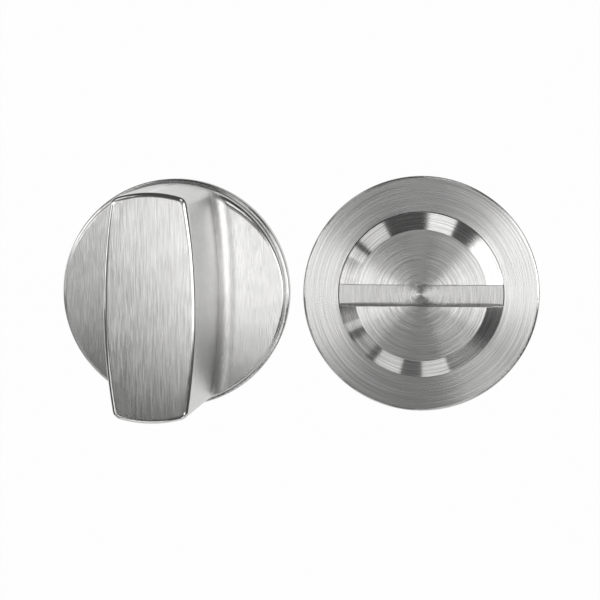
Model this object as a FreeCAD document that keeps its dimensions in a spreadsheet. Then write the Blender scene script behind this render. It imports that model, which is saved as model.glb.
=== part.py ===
import FreeCAD, Part
import os
import re

import Sketcher

# Bathroom thumb turn lock: the two halves of one set, side by side as they are sold.
# Millimetres. The door's face is the plane y = 0 and the user stands on its -Y side.
# The thumb turn's axis is the Y axis. The coin release stands beside it, along +X.
# A height is measured from the door's face towards the user, a depth into the door.

SIZES = {
    # The two roses: pressed steel covers over cast fixing plates
    "unit_spacing": 54.4,
    "turn_rose_radius": 25.35,
    "release_rose_radius": 26.0,
    "rose_height": 4.0,
    "rose_wall": 1.0,
    "rose_edge_round": 0.5,
    "cover_clearance": 0.1,
    "plate_gap": 0.1,
    "spigot_radius": 9.5,
    # Bearing and retaining stack behind each plate
    "hub_radius": 6.0,
    "running_clearance": 0.05,
    "bush_wall": 1.0,
    "bush_fit": 0.02,
    "bush_flange_radius": 9.0,
    "bush_length": 6.9,
    "flange_clearance": 0.3,
    "spring_inner_radius": 6.4,
    "spring_outer_radius": 8.8,
    "spring_thickness": 0.4,
    "spring_free_height": 0.8,
    "washer_radius": 9.0,
    "washer_thickness": 0.5,
    "stack_clearance": 0.05,
    "ring_groove_depth": 0.5,
    "ring_thickness": 1.0,
    "ring_groove_width": 1.1,
    "ring_fit": 0.02,
    "ring_outer_radius": 7.6,
    "ring_lug_offset": 0.6,
    "ring_lug_radius": 1.3,
    "ring_lug_hole_radius": 0.6,
    "ring_opening": 50.0,
    "hub_tail": 1.2,
    # Thumb turn: one cast piece, a disc with a barrel-shaped grip right across it
    "disc_gap": 0.2,
    "disc_inset": 0.904,
    "disc_thickness": 2.9,
    "disc_draft": 2.1,
    "disc_edge_round": 0.4,
    "grip_height": 33.8,
    "grip_half_width": 9.25,
    "grip_end_half_width": 7.5,
    "grip_shoulder": 21.6,
    "grip_draft": 2.0,
    "grip_corner_round": 2.0,
    "grip_edge_round": 1.0,
    "grip_root_round": 3.0,
    # Spindle and the grub screw that keeps it in the thumb turn
    "spindle_size": 5.0,
    "spindle_clearance": 0.05,
    "spindle_length": 60.0,
    "spindle_seat_depth": 13.5,
    "spindle_chamfer": 0.5,
    "socket_end_gap": 0.1,
    "grub_radius": 1.5,
    "grub_fit": 0.02,
    "grub_length": 3.2,
    "grub_key_radius": 0.85,
    "grub_key_depth": 1.5,
    "grub_margin": 0.8,
    # Coin release: a turned boss in the rose's hole, with a slot for a coin
    "boss_radius": 18.07,
    "boss_top_radius": 14.41,
    "boss_wall_height": 5.86,
    "boss_height": 7.68,
    "boss_gap": 0.2,
    "boss_back_height": 2.5,
    "boss_plate_gap": 0.3,
    "boss_recess_clearance": 0.5,
    "slot_width": 4.6,
    "slot_depth": 3.98,
    "release_socket_reach": 1.3,
    # Connecting bolts and their sleeves, which clamp the two plates to the door
    "fixing_spacing": 38.0,
    "head_radius": 4.0,
    "head_sink": 0.1,
    "head_seat_fit": 0.02,
    "fixing_clearance": 0.25,
    "bolt_radius": 2.0,
    "bolt_length": 38.0,
    "shank_radius": 1.8,
    "shank_end_depth": 2.0,
    "bolt_tip_chamfer": 0.5,
    "sleeve_radius": 2.75,
    "sleeve_length": 22.0,
    "sleeve_bore_radius": 1.65,
    "sleeve_bore_depth": 18.0,
    "drive_slot_width": 1.0,
    "drive_slot_depth": 0.8,
    # How far a cut runs past the edge of the piece it is made in
    "overrun": 1.0,
}

# Places that follow from those sizes
TURN_FACE = "(rose_height + disc_gap + disc_thickness)"
TURN_FRONT = "(rose_height + disc_gap + disc_thickness + grip_height)"
TURN_BACK = "(rose_height + disc_gap)"
DISC_FOOT_RADIUS = "(turn_rose_radius - disc_inset)"
DISC_FACE_RADIUS = "(%s - disc_thickness * tan(disc_draft))" % DISC_FOOT_RADIUS
GRIP_END_RADIUS = "(%s - grip_height * tan(disc_draft))" % DISC_FACE_RADIUS
PLATE_HEIGHT = "(rose_height - rose_wall - plate_gap)"
LOW_PLATE_HEIGHT = "(boss_back_height - boss_plate_gap)"
BUSH_RADIUS = "(hub_radius + running_clearance + bush_wall)"
PLATE_BORE = "(hub_radius + running_clearance + bush_wall + bush_fit)"
TURN_SEAT = PLATE_HEIGHT
FLANGE_THICKNESS = "(disc_gap + rose_wall + plate_gap - stack_clearance)"
RELEASE_SEAT = "(boss_back_height - stack_clearance - %s)" % FLANGE_THICKNESS
TURN_SPIGOT = "(bush_length - %s)" % TURN_SEAT
RELEASE_SPIGOT = "(bush_length - %s)" % RELEASE_SEAT
STACK_HEIGHT = "(spring_free_height + stack_clearance + washer_thickness)"
TURN_GROOVE = "(%s + %s)" % (TURN_SPIGOT, STACK_HEIGHT)
RELEASE_GROOVE = "(%s + %s)" % (RELEASE_SPIGOT, STACK_HEIGHT)
GRUB_DEPTH = "(%s + ring_groove_width + grub_margin + grub_radius)" % TURN_GROOVE
TURN_TAIL = "(%s + grub_radius + hub_tail)" % GRUB_DEPTH
RELEASE_TAIL = "(%s + ring_groove_width + hub_tail)" % RELEASE_GROOVE
SPINDLE_START = "(%s - spindle_seat_depth)" % TURN_TAIL
SOCKET_SIZE = "(spindle_size + 2 * spindle_clearance)"

doc = FreeCAD.newDocument("thumb_turn_lock")
sheet = doc.addObject("Spreadsheet::Sheet", "Sizes")
NODES = []


def fill_sheet():
    for row, (name, size) in enumerate(SIZES.items(), start=1):
        sheet.set("A%d" % row, name)
        sheet.set("B%d" % row, str(size))
        sheet.setAlias("B%d" % row, name)
    doc.recompute()


def formula(text):
    """The same sum, with every size read from the sheet."""
    return re.sub(r"[a-z_]+", lambda word: "Sizes." + word[0] if word[0] in SIZES else word[0], text)


def value(text):
    return float(sheet.evalExpression(formula(text)))


def new_body(label, aside="0", up="0"):
    """A body for one piece, set beside or above the origin."""
    body = doc.addObject("PartDesign::Body", label)
    body.Label = label
    body.setExpression("Placement.Base.x", formula(aside))
    body.setExpression("Placement.Base.z", formula(up))
    return body


def new_sketch(body, name, role, height="0"):
    """A sketch on one of the body's own planes. On XZ, height is towards the user."""
    sketch = body.newObject("Sketcher::SketchObject", name)
    plane = next(feature for feature in body.Origin.OriginFeatures if feature.Role == role)
    sketch.AttachmentSupport = [(plane, "")]
    sketch.MapMode = "FlatFace"
    sketch.setExpression("AttachmentOffset.Base.z", formula(height))
    return sketch


def bind(sketch, constraint, text):
    index = sketch.addConstraint(constraint)
    sketch.setExpression("Constraints[%d]" % index, formula(text))


def place_point(sketch, geometry, end, across, along):
    """Ties one point of a line or circle to a place given by two sums; "0" is an axis."""
    if across == "0":
        sketch.addConstraint(Sketcher.Constraint("PointOnObject", geometry, end, -2))
    else:
        distance = Sketcher.Constraint("DistanceX", -1, 1, geometry, end, value(across))
        bind(sketch, distance, across)
    if along == "0":
        sketch.addConstraint(Sketcher.Constraint("PointOnObject", geometry, end, -1))
    else:
        distance = Sketcher.Constraint("DistanceY", -1, 1, geometry, end, value(along))
        bind(sketch, distance, along)


def draw_outline(sketch, points):
    """A closed outline of straight lines through points given as sums."""
    places = [FreeCAD.Vector(value(across), value(along), 0) for across, along in points]
    lines = []
    for index, place in enumerate(places):
        following = places[(index + 1) % len(places)]
        lines.append(sketch.addGeometry(Part.LineSegment(place, following), False))
    for index, line in enumerate(lines):
        following = lines[(index + 1) % len(lines)]
        sketch.addConstraint(Sketcher.Constraint("Coincident", line, 2, following, 1))
        place_point(sketch, line, 1, *points[index])


def draw_circle(sketch, across, along, radius):
    centre = FreeCAD.Vector(value(across), value(along), 0)
    axis = FreeCAD.Vector(0, 0, 1)
    circle = sketch.addGeometry(Part.Circle(centre, axis, value(radius)), False)
    place_point(sketch, circle, 3, across, along)
    bind(sketch, Sketcher.Constraint("Radius", circle, value(radius)), radius)


def draw_rectangle(sketch, half_across, half_along):
    corners = [("-" + half_across, "-" + half_along), (half_across, "-" + half_along),
               (half_across, half_along), ("-" + half_across, half_along)]
    draw_outline(sketch, corners)


def turned(label, points, aside="0", up="0"):
    """A piece turned on a lathe about Y, from its half section (radius, depth)."""
    body = new_body(label, aside, up)
    sketch = new_sketch(body, label + "_section", "XY_Plane")
    draw_outline(sketch, points)
    revolution = body.newObject("PartDesign::Revolution", label + "_turning")
    revolution.Profile = sketch
    revolution.ReferenceAxis = (sketch, ["V_Axis"])
    revolution.Angle = 360
    doc.recompute()
    return body


def pocket(body, sketch, depth, name, towards_user=False):
    """Cuts the sketch into the body, away from the user unless told otherwise."""
    volume = body.Shape.Volume
    cut = body.newObject("PartDesign::Pocket", name)
    cut.Profile = sketch
    cut.Reversed = towards_user
    cut.setExpression("Length", formula(depth))
    doc.recompute()
    if body.Shape.Volume > volume - 0.01:
        raise RuntimeError(name + " cuts nothing")


def lies_at(edge, depth):
    """True for an edge that lies in one plane at this depth."""
    return abs(edge.BoundBox.YMin - depth) < 0.001 and abs(edge.BoundBox.YMax - depth) < 0.001


def is_circle(edge, radius):
    return isinstance(edge.Curve, Part.Circle) and abs(edge.Curve.Radius - radius) < 0.001


def rounded(base, name, radii):
    """Rounds edges of a finished shape; radii gives an edge's two end radii, or None."""
    fillet = doc.addObject("Part::Fillet", name)
    fillet.Base = base
    edges = []
    for number, edge in enumerate(base.Shape.Edges, start=1):
        pair = radii(edge)
        if pair:
            edges.append((number, pair[0], pair[1]))
    fillet.Edges = edges
    doc.recompute()
    return fillet


def cut_away(base, tool, name):
    cut = doc.addObject("Part::Cut", name)
    cut.Base = base
    cut.Tool = tool
    doc.recompute()
    return cut


def lay_along_depth(primitive, depth="0", across="0", up="0"):
    """Turns a primitive's own Z axis to point into the door and puts its end at a depth."""
    primitive.Placement.Rotation = FreeCAD.Rotation(FreeCAD.Vector(1, 0, 0), -90)
    primitive.setExpression("Placement.Base.x", formula(across))
    primitive.setExpression("Placement.Base.y", formula(depth))
    primitive.setExpression("Placement.Base.z", formula(up))


def cylinder(name, radius, length, depth, across="0", up="0"):
    solid = doc.addObject("Part::Cylinder", name)
    solid.setExpression("Radius", formula(radius))
    solid.setExpression("Height", formula(length))
    lay_along_depth(solid, depth, across, up)
    return solid


# Thumb turn: the casting that is gripped, its spindle and the screw that keeps the spindle


def hub_section(groove, tail):
    """The hub's outline behind its disc, with the groove for the retaining ring."""
    groove_radius = "hub_radius - ring_groove_depth"
    groove_end = "%s + ring_groove_width" % groove
    return [("hub_radius", groove), (groove_radius, groove), (groove_radius, groove_end),
            ("hub_radius", groove_end), ("hub_radius", tail), ("0", tail)]


def make_knob_blank():
    """Disc, grip and hub before the cheeks are cut: one tapered bar with the spindle's socket."""
    blank = turned("knob_blank", [
        ("0", "-" + TURN_FRONT), (GRIP_END_RADIUS, "-" + TURN_FRONT),
        (DISC_FOOT_RADIUS, "-" + TURN_BACK), ("hub_radius", "-" + TURN_BACK),
    ] + hub_section(TURN_GROOVE, TURN_TAIL))
    socket = new_sketch(blank, "socket", "XZ_Plane", "-" + TURN_TAIL)
    draw_rectangle(socket, SOCKET_SIZE + " / 2", SOCKET_SIZE + " / 2")
    pocket(blank, socket, "spindle_seat_depth + socket_end_gap", "spindle_socket",
           towards_user=True)
    grub = new_sketch(blank, "grub", "XY_Plane")
    draw_circle(grub, "0", GRUB_DEPTH, "grub_radius + grub_fit")
    pocket(blank, grub, "hub_radius + overrun", "grub_hole", towards_user=True)
    return blank


def make_cheek():
    """What is cut away beside the grip: outside a flank of large radius, with a round root."""
    sagitta = "(grip_half_width - grip_end_half_width)"
    flank_radius = "((grip_shoulder ^ 2 + %s ^ 2) / (2 * %s))" % (sagitta, sagitta)
    flank = doc.addObject("Part::Cone", "flank")
    flank.setExpression("Radius1", formula(flank_radius))
    flank.setExpression("Radius2", formula("%s + grip_height * tan(grip_draft)" % flank_radius))
    flank.setExpression("Height", formula("grip_height"))
    lay_along_depth(flank, "-" + TURN_FRONT, "grip_half_width - %s" % flank_radius)
    block = doc.addObject("Part::Box", "cheek_block")
    block.setExpression("Length", formula("2 * " + GRIP_END_RADIUS))
    block.setExpression("Width", formula("grip_height"))
    block.setExpression("Height", formula("4 * " + GRIP_END_RADIUS))
    block.setExpression("Placement.Base.y", formula("-" + TURN_FRONT))
    block.setExpression("Placement.Base.z", formula("-2 * " + GRIP_END_RADIUS))
    doc.recompute()
    cheek = cut_away(block, flank, "sharp_cheek")
    face = -value(TURN_FACE)
    root = value("grip_root_round")
    return rounded(cheek, "cheek", lambda edge: (root, root)
                   if lies_at(edge, face) and isinstance(edge.Curve, Part.Circle) else None)


def knob_side_radii(edge):
    """The grip's upright corners, fading along the root into the disc's rim."""
    face = -value(TURN_FACE)
    corner = value("grip_corner_round")
    ease = value("disc_edge_round")
    middle = edge.valueAt((edge.FirstParameter + edge.LastParameter) / 2)
    on_rim = (middle.x ** 2 + middle.z ** 2) ** 0.5 > value(GRIP_END_RADIUS + " - overrun")
    upright = edge.BoundBox.YMax < face + 0.001 and edge.BoundBox.YLength > 0.001
    within_root = edge.BoundBox.YMin > face - value("grip_root_round") - 0.001
    if lies_at(edge, face) and is_circle(edge, value(DISC_FACE_RADIUS)):
        return ease, ease
    if on_rim and upright and within_root:
        return corner, ease
    if on_rim and upright:
        return corner, corner
    return None


def make_turn_knob():
    """The casting: cheeks cut from the blank, then every edge eased."""
    blank = make_knob_blank()
    cheek = make_cheek()
    other_cheek = doc.addObject("Part::Mirroring", "other_cheek")
    other_cheek.Source = cheek
    other_cheek.Normal = FreeCAD.Vector(1, 0, 0)
    one_side = cut_away(blank, cheek, "knob_one_side")
    both_sides = cut_away(one_side, other_cheek, "knob_both_sides")
    sides = rounded(both_sides, "knob_sides", knob_side_radii)
    front = -value(TURN_FRONT)
    edge_round = value("grip_edge_round")
    knob = rounded(sides, "turn_knob", lambda edge: (edge_round, edge_round)
                   if lies_at(edge, front) else None)
    NODES.append(knob)


def make_spindle():
    """A square bar, chamfered at its far end."""
    body = new_body("spindle")
    section = new_sketch(body, "spindle_section", "XZ_Plane", "-" + SPINDLE_START)
    draw_rectangle(section, "(spindle_size / 2)", "(spindle_size / 2)")
    bar = body.newObject("PartDesign::Pad", "spindle_bar")
    bar.Profile = section
    bar.Reversed = True
    bar.setExpression("Length", formula("spindle_length"))
    doc.recompute()
    end = value("%s + spindle_length" % SPINDLE_START)
    chamfer = body.newObject("PartDesign::Chamfer", "spindle_end")
    names = ["Edge%d" % number for number, edge in enumerate(bar.Shape.Edges, start=1)
             if lies_at(edge, end)]
    chamfer.Base = (bar, names)
    chamfer.setExpression("Size", formula("spindle_chamfer"))
    doc.recompute()
    NODES.append(body)


def make_grub_screw():
    """Headless screw in the hub's side, pressing on the spindle."""
    screw = doc.addObject("Part::Cylinder", "grub_blank")
    screw.setExpression("Radius", formula("grub_radius"))
    screw.setExpression("Height", formula("grub_length"))
    key = doc.addObject("Part::Prism", "grub_key")
    key.Polygon = 6
    key.setExpression("Circumradius", formula("grub_key_radius"))
    key.setExpression("Height", formula("grub_key_depth"))
    seat = "(spindle_size / 2 + grub_fit)"
    screw.setExpression("Placement.Base.y", formula(GRUB_DEPTH))
    screw.setExpression("Placement.Base.z", formula(seat))
    key.setExpression("Placement.Base.y", formula(GRUB_DEPTH))
    key.setExpression("Placement.Base.z", formula("%s + grub_length - grub_key_depth" % seat))
    doc.recompute()
    NODES.append(cut_away(screw, key, "spindle_grub_screw"))


# Coin release: the boss in the rose's hole, with the coin's slot and the spindle's socket


def make_release_disc():
    body = turned("release_disc", [
        ("0", "-boss_height"), ("boss_top_radius", "-boss_height"),
        ("boss_radius", "-boss_wall_height"), ("boss_radius", "-boss_back_height"),
        ("hub_radius", "-boss_back_height"),
    ] + hub_section(RELEASE_GROOVE, RELEASE_TAIL), aside="unit_spacing")
    slot = new_sketch(body, "slot", "XZ_Plane", "boss_height")
    draw_rectangle(slot, "(boss_radius + overrun)", "(slot_width / 2)")
    pocket(body, slot, "slot_depth", "coin_slot")
    socket = new_sketch(body, "release_socket", "XZ_Plane", "-" + RELEASE_TAIL)
    draw_rectangle(socket, SOCKET_SIZE + " / 2", SOCKET_SIZE + " / 2")
    pocket(body, socket, "%s + release_socket_reach" % RELEASE_TAIL, "square_socket",
           towards_user=True)
    NODES.append(body)


# Roses: a pressed cover over a cast plate that is clamped to the door


def make_cover(label, radius, hole_radius, aside="0"):
    inner_face = "-(rose_height - rose_wall)"
    body = turned(label, [
        (hole_radius, "-rose_height"), (radius, "-rose_height"), (radius, "0"),
        (radius + " - rose_wall", "0"), (radius + " - rose_wall", inner_face),
        (hole_radius, inner_face),
    ], aside)
    pressing = body.Tip
    outer = ["Edge%d" % number for number, edge in enumerate(pressing.Shape.Edges, start=1)
             if lies_at(edge, -value("rose_height")) and is_circle(edge, value(radius))]
    fillet = body.newObject("PartDesign::Fillet", label + "_edge")
    fillet.Base = (pressing, outer)
    fillet.setExpression("Radius", formula("rose_edge_round"))
    doc.recompute()
    NODES.append(body)


def bore_fixings(body, label, height, shank_radius):
    """Two countersunk holes above and below the hub."""
    sketch = new_sketch(body, label + "_centres", "XZ_Plane", height)
    for along in ("fixing_spacing / 2", "-fixing_spacing / 2"):
        draw_circle(sketch, "0", along, shank_radius + " + fixing_clearance")
    doc.recompute()
    hole = body.newObject("PartDesign::Hole", label + "_fixings")
    hole.Profile = sketch
    hole.DepthType = "ThroughAll"
    hole.HoleCutType = "Countersink"
    hole.HoleCutCountersinkAngle = 90
    hole.setExpression("Diameter", formula("2 * (%s + fixing_clearance)" % shank_radius))
    hole.setExpression("HoleCutDiameter", formula("2 * (head_radius + head_sink + head_seat_fit)"))
    doc.recompute()


def make_turn_plate():
    rim = "turn_rose_radius - rose_wall - cover_clearance"
    body = turned("turn_fixing_plate", [
        (PLATE_BORE, "-" + TURN_SEAT), (rim, "-" + TURN_SEAT), (rim, "0"),
        ("spigot_radius", "0"), ("spigot_radius", TURN_SPIGOT), (PLATE_BORE, TURN_SPIGOT),
    ])
    bore_fixings(body, "turn_plate", TURN_SEAT, "bolt_radius")
    NODES.append(body)


def make_release_plate():
    rim = "release_rose_radius - rose_wall - cover_clearance"
    flange = "bush_flange_radius + bush_fit"
    recess = "boss_radius + boss_recess_clearance"
    body = turned("release_fixing_plate", [
        (PLATE_BORE, "-" + RELEASE_SEAT), (flange, "-" + RELEASE_SEAT),
        (flange, "-" + LOW_PLATE_HEIGHT), (recess, "-" + LOW_PLATE_HEIGHT),
        (recess, "-" + PLATE_HEIGHT), (rim, "-" + PLATE_HEIGHT), (rim, "0"),
        ("spigot_radius", "0"), ("spigot_radius", RELEASE_SPIGOT),
        (PLATE_BORE, RELEASE_SPIGOT),
    ], "unit_spacing")
    bore_fixings(body, "release_plate", LOW_PLATE_HEIGHT, "sleeve_radius")
    NODES.append(body)


def make_bush(label, seat, aside="0"):
    """Flanged plastic bush that the hub turns in."""
    bore = "hub_radius + running_clearance"
    spigot = "(bush_length - %s)" % seat
    top = "-(%s + %s)" % (seat, FLANGE_THICKNESS)
    NODES.append(turned(label, [
        (bore, top), ("bush_flange_radius", top), ("bush_flange_radius", "-" + seat),
        (BUSH_RADIUS, "-" + seat), (BUSH_RADIUS, spigot), (bore, spigot),
    ], aside))


# Retaining stack: cone spring, washer and ring on the hub's end, behind the plate


def make_spring_washer(label, start, aside="0"):
    far = "(%s + spring_free_height)" % start
    NODES.append(turned(label, [
        ("spring_inner_radius", far + " - spring_thickness"), ("spring_outer_radius", start),
        ("spring_outer_radius", start + " + spring_thickness"), ("spring_inner_radius", far),
    ], aside))


def make_thrust_washer(label, start, aside="0"):
    near = "(%s + spring_free_height + stack_clearance)" % start
    far = near + " + washer_thickness"
    bore = "hub_radius + bush_fit"
    NODES.append(turned(label, [
        (bore, near), ("washer_radius", near), ("washer_radius", far), (bore, far),
    ], aside))


def make_retaining_ring(label, groove, aside="0"):
    """Open ring in the hub's groove, with two lugs for the pliers."""
    start = "(%s + (ring_groove_width - ring_thickness) / 2)" % groove
    inner = "(hub_radius - ring_groove_depth + ring_fit)"
    blank = cylinder(label + "_outside", "ring_outer_radius", "ring_thickness", start, aside)
    blank.setExpression("Angle", formula("360 - ring_opening"))
    lug_reach = "((%s + ring_outer_radius) / 2 + ring_lug_offset)" % inner
    lugs = []
    holes = []
    for side, angle in (("near", "0"), ("far", "(360 - ring_opening)")):
        across = "%s + %s * cos(%s)" % (aside, lug_reach, angle)
        up = "-%s * sin(%s)" % (lug_reach, angle)
        lugs.append(cylinder("%s_%s_lug" % (label, side), "ring_lug_radius",
                             "ring_thickness", start, across, up))
        holes.append(cylinder("%s_%s_hole" % (label, side), "ring_lug_hole_radius",
                              "ring_thickness", start, across, up))
    doc.recompute()
    body = doc.addObject("Part::MultiFuse", label + "_body")
    body.Shapes = [blank] + lugs
    inside = doc.addObject("Part::MultiFuse", label + "_openings")
    inside.Shapes = [cylinder(label + "_inside", inner, "ring_thickness", start, aside)] + holes
    doc.recompute()
    NODES.append(cut_away(body, inside, label))


# Fixings: two bolts through the door from the thumb turn into sleeves from the release


def cut_drive_slot(body, label, height):
    slot = new_sketch(body, label + "_slot", "XZ_Plane", height)
    draw_rectangle(slot, "(head_radius + overrun)", "(drive_slot_width / 2)")
    pocket(body, slot, "drive_slot_depth", label + "_drive")


def make_bolt(label, up):
    """Countersunk bolt with a rolled thread, so its plain shank is thinner than the thread."""
    top = "(%s - head_sink)" % TURN_SEAT
    neck = "-(%s - head_radius + shank_radius)" % top
    tip = "(bolt_length - %s)" % top
    body = turned(label, [
        ("0", "-" + top), ("head_radius", "-" + top), ("shank_radius", neck),
        ("shank_radius", "shank_end_depth"), ("bolt_radius", "shank_end_depth"),
        ("bolt_radius", tip + " - bolt_tip_chamfer"),
        ("bolt_radius - bolt_tip_chamfer", tip), ("0", tip),
    ], up=up)
    cut_drive_slot(body, label, top)
    NODES.append(body)


def make_sleeve(label, up):
    """Countersunk sleeve, bored and tapped from its far end."""
    top = "(%s - head_sink)" % LOW_PLATE_HEIGHT
    neck = "-(%s - head_radius + sleeve_radius)" % top
    tip = "(sleeve_length - %s)" % top
    bottom = "%s - sleeve_bore_depth" % tip
    body = turned(label, [
        ("0", "-" + top), ("head_radius", "-" + top), ("sleeve_radius", neck),
        ("sleeve_radius", tip), ("sleeve_bore_radius", tip),
        ("sleeve_bore_radius", bottom), ("0", bottom),
    ], "unit_spacing", up)
    cut_drive_slot(body, label, top)
    NODES.append(body)


def make_thumb_turn_side():
    make_turn_knob()
    make_cover("turn_rose_cover", "turn_rose_radius", "(bush_flange_radius + flange_clearance)")
    make_turn_plate()
    make_bush("turn_bush", TURN_SEAT)
    make_spring_washer("turn_spring_washer", TURN_SPIGOT)
    make_thrust_washer("turn_thrust_washer", TURN_SPIGOT)
    make_retaining_ring("turn_retaining_ring", TURN_GROOVE)
    make_spindle()
    make_grub_screw()
    make_bolt("upper_bolt", "fixing_spacing / 2")
    make_bolt("lower_bolt", "-fixing_spacing / 2")


def make_release_side():
    make_release_disc()
    make_cover("release_rose_cover", "release_rose_radius", "(boss_radius + boss_gap)",
               "unit_spacing")
    make_release_plate()
    make_bush("release_bush", RELEASE_SEAT, "unit_spacing")
    make_spring_washer("release_spring_washer", RELEASE_SPIGOT, "unit_spacing")
    make_thrust_washer("release_thrust_washer", RELEASE_SPIGOT, "unit_spacing")
    make_retaining_ring("release_retaining_ring", RELEASE_GROOVE, "unit_spacing")
    make_sleeve("upper_sleeve", "fixing_spacing / 2")
    make_sleeve("lower_sleeve", "-fixing_spacing / 2")


def write_parts():
    """Writes each piece, once every feature and shape is sound."""
    for item in doc.Objects:
        if "Invalid" in item.State or "Error" in item.State:
            raise RuntimeError("%s: %s" % (item.Name, item.State))
    for node in NODES:
        if node.Shape.isNull() or not node.Shape.isValid():
            raise RuntimeError(node.Label + " has no valid shape")
    os.makedirs("parts", exist_ok=True)
    for node in NODES:
        node.Shape.exportStep("parts/%s.step" % node.Label)


fill_sheet()
make_thumb_turn_side()
make_release_side()
doc.recompute()
write_parts()
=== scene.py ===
import math

import bpy
from mathutils import Matrix, Vector


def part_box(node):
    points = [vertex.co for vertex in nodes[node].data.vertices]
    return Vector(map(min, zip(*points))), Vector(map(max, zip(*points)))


# Bathroom thumb turn lock: the two halves of one set, side by side as they are sold.
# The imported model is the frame: metres, the door's face at y = 0, the user on its -Y side.
# The thumb turn's axis is the Y axis, and the coin release stands beside it along +X.
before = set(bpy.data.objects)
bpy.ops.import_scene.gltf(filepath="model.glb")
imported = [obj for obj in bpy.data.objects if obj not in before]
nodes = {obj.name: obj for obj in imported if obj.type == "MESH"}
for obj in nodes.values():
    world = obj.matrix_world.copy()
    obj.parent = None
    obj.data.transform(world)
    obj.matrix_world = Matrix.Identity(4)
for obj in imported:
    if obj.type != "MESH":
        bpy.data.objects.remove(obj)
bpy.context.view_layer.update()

# Thumb turn. One stainless steel casting: a disc with a barrel-shaped grip right across it.
# Its flat faces and flanks are brushed up and down on a belt, its rim and the grip's ends are
# turned, and the round front edge of the grip is polished.

# The steel and its scratches. A spread is the range of the noise that is faded over. The fine
# scratches are FINE_GRAIN times as fine as the coarse ones, and lean the surface more.
STEEL_COLOUR = (0.66, 0.657, 0.65)
STEEL_SHADE = (0.43, 0.428, 0.423)
GRAIN_WIDTH = 0.00009
GRAIN_LENGTH = 0.0032
GRAIN_DETAIL = 1.0
GRAIN_SPREAD = (0.3, 0.7)
FINE_GRAIN = 4.3
FINE_GRAIN_WEIGHT = 3.0

# Where the casting's faces are. Up and down from its middle, the grip narrows on each side by
# the barrel times the distance squared. A skin is how close to a flat face counts as on it.
GRIP_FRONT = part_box("turn_knob")[0].y
GRIP_HEIGHT = 0.0338
DISC_FACE = GRIP_FRONT + GRIP_HEIGHT
GRIP_ROOT_ROUND = 0.0030
GRIP_FOOT = 0.0104
GRIP_BARREL = 3.75
RIM_START = 0.0225
RIM_BLEND = 0.0004
RIM_FACING = (-0.9, -0.7)
RIM_BREAKS = 1.5
POLISHED_EDGE = 0.0010
SKIN = 0.00001

# How the casting is finished. The dull roots end between the first two of these distances
# from the grip's middle.
ROOT_DULL_TO = GRIP_FOOT + 0.0020
ROOT_BRIGHT_FROM = GRIP_FOOT + 0.0038
ROOT_DULLNESS = 0.18
EDGE_POLISH = 0.08
KNOB_GRAIN_SPREAD = (0.25, 0.75)
KNOB_CLOUD_SPREAD = (0.35, 0.65)
KNOB_CLOUD_SHARE = 0.1
KNOB_CLOUDS_PER_METRE = 260.0
KNOB_DULLNESS = (0.20, 0.24)
KNOB_STRETCH = 0.75
KNOB_LEAN = 0.008


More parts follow.
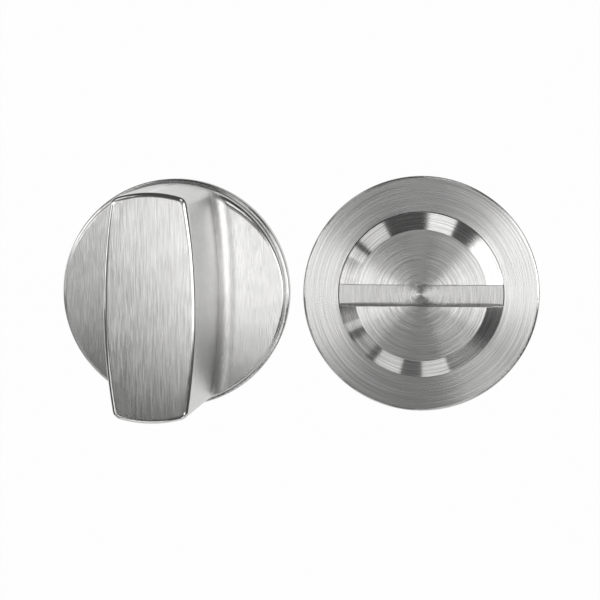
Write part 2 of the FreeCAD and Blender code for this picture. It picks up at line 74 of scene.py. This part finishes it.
class Finish:
    """A metal or plastic finish in the making: its nodes and the shader that they feed."""

    def __init__(self, name, metallic=0.0):
        self.material = bpy.data.materials.new(name)
        self.material.use_nodes = True
        self.tree = self.material.node_tree
        self.shader = self.tree.nodes["Principled BSDF"]
        self.shader.inputs["Metallic"].default_value = metallic

    def put(self, kind, inputs=(), **settings):
        """A node with its settings, and its inputs given as links or constants by index or name."""
        node = self.tree.nodes.new(kind)
        for name, setting in settings.items():
            setattr(node, name, setting)
        for socket, source in dict(inputs).items():
            if isinstance(source, bpy.types.NodeSocket):
                self.tree.links.new(source, node.inputs[socket])
            else:
                node.inputs[socket].default_value = source
        return node

    def math(self, operation, a, b=0.0, c=0.0):
        return self.put("ShaderNodeMath", {0: a, 1: b, 2: c}, operation=operation).outputs[0]

    def vector(self, operation, a, b=(0.0, 0.0, 0.0)):
        return self.put("ShaderNodeVectorMath", {0: a, 1: b}, operation=operation).outputs[0]

    def scaled(self, vector, factor):
        inputs = {0: vector, 3: factor}
        return self.put("ShaderNodeVectorMath", inputs, operation="SCALE").outputs[0]

    def parts(self, vector):
        """The x, y and z of a vector, as three outputs."""
        return self.put("ShaderNodeSeparateXYZ", {0: vector}).outputs

    def joined(self, x=0.0, y=0.0, z=0.0):
        return self.put("ShaderNodeCombineXYZ", {0: x, 1: y, 2: z}).outputs[0]

    def fade(self, amount, start, end, low=0.0, high=1.0):
        """Turns an amount between start and end smoothly into a value from low to high."""
        inputs = {"Value": amount, "From Min": start, "From Max": end,
                  "To Min": low, "To Max": high}
        return self.put("ShaderNodeMapRange", inputs, interpolation_type="SMOOTHSTEP").outputs[0]

    def colours(self, amount, first, second):
        """Mixes two colours, which are inputs 6 and 7 and output 2 of the mix node."""
        inputs = {"Factor": amount, 6: (*first, 1.0), 7: (*second, 1.0)}
        return self.put("ShaderNodeMix", inputs, data_type="RGBA").outputs[2]

    def places(self, amount, first, second):
        """Mixes two places, which are inputs 4 and 5 and output 1 of the mix node."""
        inputs = {"Factor": amount, 4: first, 5: second}
        return self.put("ShaderNodeMix", inputs, data_type="VECTOR").outputs[1]

    def noise(self, place, scale, detail, roughness=0.5):
        inputs = {"Vector": place, "Scale": scale, "Detail": detail, "Roughness": roughness}
        return self.put("ShaderNodeTexNoise", inputs).outputs[0]

    def feed(self, **links):
        """Links sources to the shader's inputs, which are named in lower case here."""
        for name, source in links.items():
            self.tree.links.new(source, self.shader.inputs[name.replace("_", " ").title()])

    def bump(self, height, depth):
        node = self.put("ShaderNodeBump", {"Height": height, "Distance": depth, "Strength": 1.0})
        self.tree.links.new(node.outputs[0], self.shader.inputs["Normal"])

    def scratch(self, normal, across, slope):
        """Leans the surface to and fro across its scratches, which spreads highlights that way.
        The normal and the direction are given in the piece's own frame."""
        across = self.vector("NORMALIZE", across)
        lean = self.scaled(across, slope)
        leaning = self.vector("NORMALIZE", self.vector("ADD", normal, lean))
        for direction, socket in ((across, "Tangent"), (leaning, "Normal")):
            world = self.put("ShaderNodeVectorTransform", {0: direction}, vector_type="VECTOR",
                             convert_from="OBJECT", convert_to="WORLD")
            self.tree.links.new(world.outputs[0], self.shader.inputs[socket])

    def lean(self, place, strength):
        """How far the surface leans, from a coarse and a fine grain of scratches."""
        coarse = self.math("SUBTRACT", self.noise(place, 1.0, detail=2.0, roughness=0.6), 0.5)
        fine = self.math("SUBTRACT", self.noise(place, FINE_GRAIN, detail=0.0), 0.5)
        both = self.math("MULTIPLY_ADD", fine, FINE_GRAIN_WEIGHT, coarse)
        return self.math("MULTIPLY", both, strength)

    def wear(self, *pieces):
        """Gives the finish to the pieces, in place of what they had."""
        for piece in pieces:
            piece.data.materials.clear()
            piece.data.materials.append(self.material)


def turned_place(finish, place, axis_x, breaks):
    """Coordinates for turning marks round an axis square to the door at x: rings, broken up
    along their arc. The place and the distance from the axis come with them."""
    from_axis = finish.vector("SUBTRACT", place, (axis_x, 0.0, 0.0))
    across, depth, up = finish.parts(from_axis)
    flat = finish.joined(x=across, z=up)
    radius = finish.put("ShaderNodeVectorMath", {0: flat}, operation="LENGTH").outputs["Value"]
    ring = finish.math("MULTIPLY", finish.math("SUBTRACT", radius, depth), 1 / GRAIN_WIDTH)
    spoke = finish.parts(finish.vector("NORMALIZE", flat))
    arc_across = finish.math("MULTIPLY", spoke[0], breaks)
    arc_up = finish.math("MULTIPLY", spoke[2], breaks)
    return from_axis, radius, finish.joined(arc_across, ring, arc_up)


def brushed_turn():
    """The casting's finish: brushed faces, turned rim, polished front edge, duller roots."""
    finish = Finish("brushed steel casting", metallic=1.0)
    where = finish.put("ShaderNodeTexCoord").outputs
    place, normal = where["Object"], where["Normal"]
    facing = finish.parts(normal)[1]
    across, depth, up = finish.parts(place)

    # Long fine scratches, up and down on the faces and round the rim
    upright = finish.vector("MULTIPLY", place, (1 / GRAIN_WIDTH, 1 / GRAIN_WIDTH, 1 / GRAIN_LENGTH))
    _, radius, around = turned_place(finish, place, 0.0, RIM_BREAKS)
    outside = finish.fade(radius, RIM_START, RIM_START + RIM_BLEND)
    on_rim = finish.math("MULTIPLY", outside, finish.fade(facing, *RIM_FACING))
    grain_place = finish.places(on_rim, upright, around)
    grain = finish.noise(grain_place, 1.0, GRAIN_DETAIL)
    cloud = finish.noise(place, KNOB_CLOUDS_PER_METRE, detail=2.0)

    # The polished front edge of the grip, which leaves out its flat front
    near_front = finish.fade(depth, GRIP_FRONT + POLISHED_EDGE, GRIP_FRONT + 0.9 * POLISHED_EDGE)
    behind_front = finish.fade(depth, GRIP_FRONT + SKIN, GRIP_FRONT + 3 * SKIN)
    polished = finish.math("MULTIPLY", near_front, behind_front)

    # The belt doesn't reach right into the grip's roots, which stay duller
    barrel = finish.math("MULTIPLY", finish.math("MULTIPLY", up, up), GRIP_BARREL)
    from_middle = finish.math("ADD", finish.math("ABSOLUTE", across), barrel)
    near_grip = finish.fade(from_middle, ROOT_BRIGHT_FROM, ROOT_DULL_TO)
    near_disc = finish.fade(depth, DISC_FACE - GRIP_ROOT_ROUND, DISC_FACE - 0.6 * GRIP_ROOT_ROUND)
    above_disc = finish.fade(depth, DISC_FACE + 2 * SKIN, DISC_FACE)
    in_root = finish.math("MULTIPLY", finish.math("MULTIPLY", near_grip, near_disc), above_disc)

    grain_shade = finish.fade(grain, *KNOB_GRAIN_SPREAD, 0.0, 1 - KNOB_CLOUD_SHARE)
    cloud_shade = finish.fade(cloud, *KNOB_CLOUD_SPREAD, 0.0, KNOB_CLOUD_SHARE)
    shade = finish.math("ADD", grain_shade, cloud_shade)
    roughness = finish.fade(grain, *GRAIN_SPREAD, *KNOB_DULLNESS)
    roughness = finish.math("MULTIPLY_ADD", polished, -EDGE_POLISH, roughness)
    roughness = finish.math("MULTIPLY_ADD", in_root, ROOT_DULLNESS, roughness)
    finish.feed(base_color=finish.colours(shade, STEEL_SHADE, STEEL_COLOUR), roughness=roughness,
                anisotropic=finish.fade(polished, 0.0, 1.0, KNOB_STRETCH, 0.0))
    sideways = finish.vector("CROSS_PRODUCT", normal, (0.0, 0.0, 1.0))
    finish.scratch(normal, sideways, finish.lean(grain_place, KNOB_LEAN))
    return finish


brushed_turn().wear(nodes["turn_knob"])

# Rose covers. Pressed from stainless steel sheet and turned on their faces, one behind the
# thumb turn's disc and one round the release's boss. Each is a push fit over the plate behind.

RELEASE_AXIS = sum(corner.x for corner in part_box("release_rose_cover")) / 2
TURNED_BREAKS = 1.1
TURNED_UNEVENNESS = 0.01
TURNED_LEAN = 0.0035
COVER_DULLNESS = 0.24
COVER_STRETCH = 0.9


def turned_steel(name, axis_x, dullness, stretch, detail=None):
    """Turned steel round an axis square to the door at x. A piece's own details come as a
    function that changes the colour and the normal."""
    finish = Finish(name, metallic=1.0)
    finish.shader.inputs["Anisotropic"].default_value = stretch
    where = finish.put("ShaderNodeTexCoord").outputs
    place, normal = where["Object"], where["Normal"]
    from_axis, _, around = turned_place(finish, place, axis_x, TURNED_BREAKS)
    grain = finish.noise(around, 1.0, GRAIN_DETAIL)
    colour = finish.colours(finish.fade(grain, *GRAIN_SPREAD), STEEL_SHADE, STEEL_COLOUR)
    if detail:
        colour, normal = detail(finish, place, colour, normal)
    smooth = dullness - TURNED_UNEVENNESS
    rough = dullness + TURNED_UNEVENNESS
    finish.feed(base_color=colour, roughness=finish.fade(grain, *GRAIN_SPREAD, smooth, rough))
    groove = finish.vector("CROSS_PRODUCT", (0.0, 1.0, 0.0), from_axis)
    across = finish.vector("CROSS_PRODUCT", groove, normal)
    finish.scratch(normal, across, finish.lean(around, TURNED_LEAN))
    return finish


turn_cover_steel = turned_steel("turned steel cover, turn", 0.0, COVER_DULLNESS, COVER_STRETCH)
turn_cover_steel.wear(nodes["turn_rose_cover"])
release_cover_steel = turned_steel("turned steel cover, release", RELEASE_AXIS,
                                   COVER_DULLNESS, COVER_STRETCH)
release_cover_steel.wear(nodes["release_rose_cover"])

# Coin release. A boss turned from stainless steel bar, in the hole of its rose cover. It has a
# milled slot for a coin, whose upper and lower edges are broken.

BOSS_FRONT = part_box("release_disc")[0].y
BOSS_DULLNESS = 0.20
BOSS_STRETCH = 1.0
SLOT_HALF_WIDTH = 0.0023
SLOT_DEPTH = 0.00398
FRONT_FACING = (-0.80, -0.85)
EDGE_BREAK = 0.00014
EDGE_LEAN = 0.42
# How far the painted shade on the slot's floor darkens its colour
SLOT_FLOOR_PAINTED_SHADE = 0.74


def milled_slot(finish, place, colour, normal):
    """The slot's broken edges, which lean inward, and painted shade that darkens the colour of its
    floor.
    """
    _, depth, up = finish.parts(place)
    facing = finish.parts(normal)[1]
    height = finish.math("ABSOLUTE", up)

    near_front = finish.fade(depth, BOSS_FRONT + 0.6 * SLOT_DEPTH, BOSS_FRONT + 0.5 * SLOT_DEPTH)
    in_front = finish.math("MULTIPLY", near_front, finish.fade(facing, *FRONT_FACING))
    beside = finish.fade(height, SLOT_HALF_WIDTH + EDGE_BREAK, SLOT_HALF_WIDTH + 0.8 * EDGE_BREAK)
    edge = finish.math("MULTIPLY", in_front, beside)
    inward = finish.math("MULTIPLY", finish.math("SIGN", up), -EDGE_LEAN)
    slope = finish.joined(z=finish.math("MULTIPLY", edge, inward))

    # Painted shade: the slot's floor is darker in colour, as shade from its walls would make it
    deep = finish.fade(depth, BOSS_FRONT + 0.8 * SLOT_DEPTH, BOSS_FRONT + 0.9 * SLOT_DEPTH)
    within = finish.fade(height, SLOT_HALF_WIDTH + 2 * SKIN, SLOT_HALF_WIDTH)
    floor = finish.math("MULTIPLY", deep, within)
    painted_shade = finish.fade(floor, 0.0, 1.0, 1.0, SLOT_FLOOR_PAINTED_SHADE)
    leaning = finish.vector("NORMALIZE", finish.vector("ADD", normal, slope))
    return finish.scaled(colour, painted_shade), leaning


boss_steel = turned_steel("turned steel boss", RELEASE_AXIS, BOSS_DULLNESS, BOSS_STRETCH,
                          milled_slot)
boss_steel.wear(nodes["release_disc"])

# Fixing plates. Die-cast zinc alloy, left as cast. They lie behind the covers, one on each
# side of the door, and the bolts and sleeves clamp them to it.

MOTTLE_SPREAD = (0.35, 0.65)
MOTTLE_DULLNESS = 0.06


def mottled(name, shade, colour, metallic, dullness, mottle, depth):
    """A finish with small even mottles, as casting, moulding, oiling or plating leaves it."""
    finish = Finish(name, metallic)
    place = finish.put("ShaderNodeTexCoord").outputs["Object"]
    grain = finish.noise(place, 1 / mottle, detail=4.0, roughness=0.6)
    smooth = dullness - MOTTLE_DULLNESS
    rough = dullness + MOTTLE_DULLNESS
    finish.feed(base_color=finish.colours(finish.fade(grain, *MOTTLE_SPREAD), shade, colour),
                roughness=finish.fade(grain, *GRAIN_SPREAD, smooth, rough))
    finish.bump(grain, depth)
    return finish


cast_zinc = mottled("cast zinc alloy", shade=(0.42, 0.43, 0.44), colour=(0.54, 0.55, 0.56),
                    metallic=1.0, dullness=0.5, mottle=0.0009, depth=0.00004)
cast_zinc.wear(nodes["turn_fixing_plate"], nodes["release_fixing_plate"])

# Bushes. Natural acetal, moulded with a flange. One sits in the bore of each fixing plate,
# and a hub turns in it.

acetal = mottled("acetal", shade=(0.80, 0.79, 0.75), colour=(0.87, 0.86, 0.83),
                 metallic=0.0, dullness=0.45, mottle=0.0012, depth=0.00001)
acetal.wear(nodes["turn_bush"], nodes["release_bush"])

# Spring washers, retaining rings and grub screw. Blackened and oiled steel. The washers and
# rings keep the hubs in their plates, and the screw keeps the spindle in the turn's hub.

black_steel = mottled("black spring steel", shade=(0.10, 0.10, 0.10), colour=(0.17, 0.165, 0.16),
                      metallic=1.0, dullness=0.4, mottle=0.0010, depth=0.00001)
black_steel.wear(nodes["turn_spring_washer"], nodes["release_spring_washer"],
                 nodes["turn_retaining_ring"], nodes["release_retaining_ring"],
                 nodes["spindle_grub_screw"])

# Thrust washers, spindle, bolts and sleeves. Zinc plated steel. The washers lie between spring
# and ring, the square spindle joins the hubs, and the bolts screw into the sleeves.

plated_steel = mottled("zinc plated steel", shade=(0.52, 0.53, 0.55), colour=(0.63, 0.64, 0.66),
                       metallic=1.0, dullness=0.34, mottle=0.0014, depth=0.00001)
plated_steel.wear(nodes["turn_thrust_washer"], nodes["release_thrust_washer"], nodes["spindle"],
                  nodes["upper_bolt"], nodes["lower_bolt"], nodes["upper_sleeve"],
                  nodes["lower_sleeve"])

# Room. A sweep of white paper, as the backdrop and far below as the floor, and a dim even glow.
# Soft boxes stand all round on the user's side, and the satin metal shows them as soft bands.

FLOOR_HEIGHT = -1.2
SWEEP_FRONT = -0.35
SWEEP_BACK = 0.75
SWEEP_HALF_WIDTH = 1.6
SWEEP_TOP = 1.3
SWEEP_BEND = 0.35
SWEEP_STEPS = 12
WHITE = (1.0, 1.0, 1.0, 1.0)
PAPER_WHITE = (0.9, 0.9, 0.9, 1.0)
PAPER_GLOW = 0.985


def paper():
    """White to the camera and in reflections, with part of its own shading kept for shadows."""
    finish = Finish("white paper")
    finish.shader.inputs["Base Color"].default_value = PAPER_WHITE
    finish.shader.inputs["Roughness"].default_value = 1.0
    finish.shader.inputs["Specular IOR Level"].default_value = 0.0
    seen = finish.put("ShaderNodeLightPath").outputs
    direct = finish.math("MAXIMUM", seen["Is Camera Ray"], seen["Is Glossy Ray"])
    direct = finish.math("MAXIMUM", direct, seen["Is Transmission Ray"])
    glow = finish.put("ShaderNodeEmission", {"Color": WHITE, "Strength": 1.0})
    share = finish.math("MULTIPLY", direct, PAPER_GLOW)
    blend = finish.put("ShaderNodeMixShader", {0: share, 1: finish.shader.outputs[0],
                                               2: glow.outputs[0]})
    output = finish.tree.nodes["Material Output"]
    finish.tree.links.new(blend.outputs[0], output.inputs["Surface"])
    return finish


profile = [(SWEEP_FRONT, FLOOR_HEIGHT)]
for step in range(SWEEP_STEPS + 1):
    angle = math.radians(90 * step / SWEEP_STEPS)
    profile.append((SWEEP_BACK - SWEEP_BEND + SWEEP_BEND * math.sin(angle),
                    FLOOR_HEIGHT + SWEEP_BEND - SWEEP_BEND * math.cos(angle)))
profile.append((SWEEP_BACK, SWEEP_TOP))
corners = [(side * SWEEP_HALF_WIDTH, y, z) for y, z in profile for side in (-1, 1)]
faces = [(2 * n, 2 * n + 1, 2 * n + 3, 2 * n + 2) for n in range(len(profile) - 1)]
sweep_mesh = bpy.data.meshes.new("sweep")
sweep_mesh.from_pydata(corners, [], faces)
sweep_mesh.polygons.foreach_set("use_smooth", [True] * len(faces))
sweep = bpy.data.objects.new("sweep", sweep_mesh)
bpy.context.scene.collection.objects.link(sweep)
paper().wear(sweep)

ROOM_GLOW = 0.1
LAMP_DISTANCE = 0.35
LAMP_TARGET = Vector((0.027, -0.02, 0.0))

# For each soft box: degrees clockwise from the right, as the user sees it, degrees off the
# door's normal, width in degrees round that normal, height in degrees off it, and brightness
SOFT_BOXES = {
    "near middle": (150, 4, 117, 7.5, 1.20),
    "middle": (156, 8.5, 88, 6, 2.80),
    "left middle": (175, 24, 26, 7, 1.20),
    "right near": (25, 7.5, 70, 9, 0.70),
    "right middle": (19, 16, 38, 10, 1.50),
    "right middle high": (335, 17, 38, 12, 1.10),
    "above middle": (282, 17, 30, 14, 0.70),
    "right": (342, 33, 22, 18, 4.80),
    "right high": (340, 54, 34, 22, 2.60),
    "right low": (8, 31, 26, 15, 2.20),
    "right side": (2, 48, 20, 18, 4.20),
    "right far": (2, 68, 18, 18, 2.80),
    "lower right": (52, 37, 22, 20, 3.00),
    "bottom right": (74, 64, 18, 14, 1.80),
    "bottom left": (107, 63, 19, 14, 1.80),
    "lower left": (128, 45, 14, 14, 2.10),
    "left low": (155, 50, 24, 22, 1.40),
    "left": (197, 36, 20, 28, 3.00),
    "left side": (205, 60, 20, 18, 2.10),
    "upper left": (233, 54, 24, 20, 1.60),
    "top": (293, 55, 22, 22, 2.20),
    "far left": (188, 77, 26, 24, 2.10),
}


def soft_box(name, around, off, width, height, brightness):
    """A lamp that faces the lock. It looks as bright as white times its brightness."""
    turn = math.radians(around)
    tilt = math.radians(off)
    away = Vector((math.sin(tilt) * math.cos(turn), -math.cos(tilt),
                   -math.sin(tilt) * math.sin(turn)))
    side = Vector((-math.sin(turn), 0.0, -math.cos(turn)))
    lamp = bpy.data.lights.new(name, "AREA")
    lamp.shape = "RECTANGLE"
    lamp.size = 2 * LAMP_DISTANCE * math.sin(tilt) * math.tan(math.radians(width / 2))
    lamp.size_y = 2 * LAMP_DISTANCE * math.tan(math.radians(height / 2))
    lamp.energy = brightness * math.pi * lamp.size * lamp.size_y
    box = bpy.data.objects.new(name, lamp)
    box.matrix_world = Matrix((side, away.cross(side), away)).transposed().to_4x4()
    box.location = LAMP_TARGET + LAMP_DISTANCE * away
    box.visible_camera = False
    bpy.context.scene.collection.objects.link(box)


for name, measures in SOFT_BOXES.items():
    soft_box(name, *measures)

world = bpy.data.worlds.new("room")
world.use_nodes = True
world.node_tree.nodes["Background"].inputs["Color"].default_value = WHITE
world.node_tree.nodes["Background"].inputs["Strength"].default_value = ROOM_GLOW
bpy.context.scene.world = world

# Camera. A long lens a third of a metre in front of the door, a little above the lock's middle
# and to the right of the thumb turn. It looks from where the photograph does.

CAMERA_PLACE = Vector((0.0480, -0.3341, 0.0292))
CAMERA_AIM = Vector((-0.0611, 0.9934, -0.0921))

camera_data = bpy.data.cameras.new("camera")
camera_data.lens = 90.0
camera_data.sensor_width = 36.0
camera_data.clip_start = 0.01
camera_data.clip_end = 20.0
camera = bpy.data.objects.new("camera", camera_data)
camera.location = CAMERA_PLACE
camera.rotation_mode = "QUATERNION"
camera.rotation_quaternion = CAMERA_AIM.to_track_quat("-Z", "Y")
bpy.context.scene.collection.objects.link(camera)
bpy.context.scene.camera = camera
bpy.context.scene.view_settings.view_transform = "Standard"
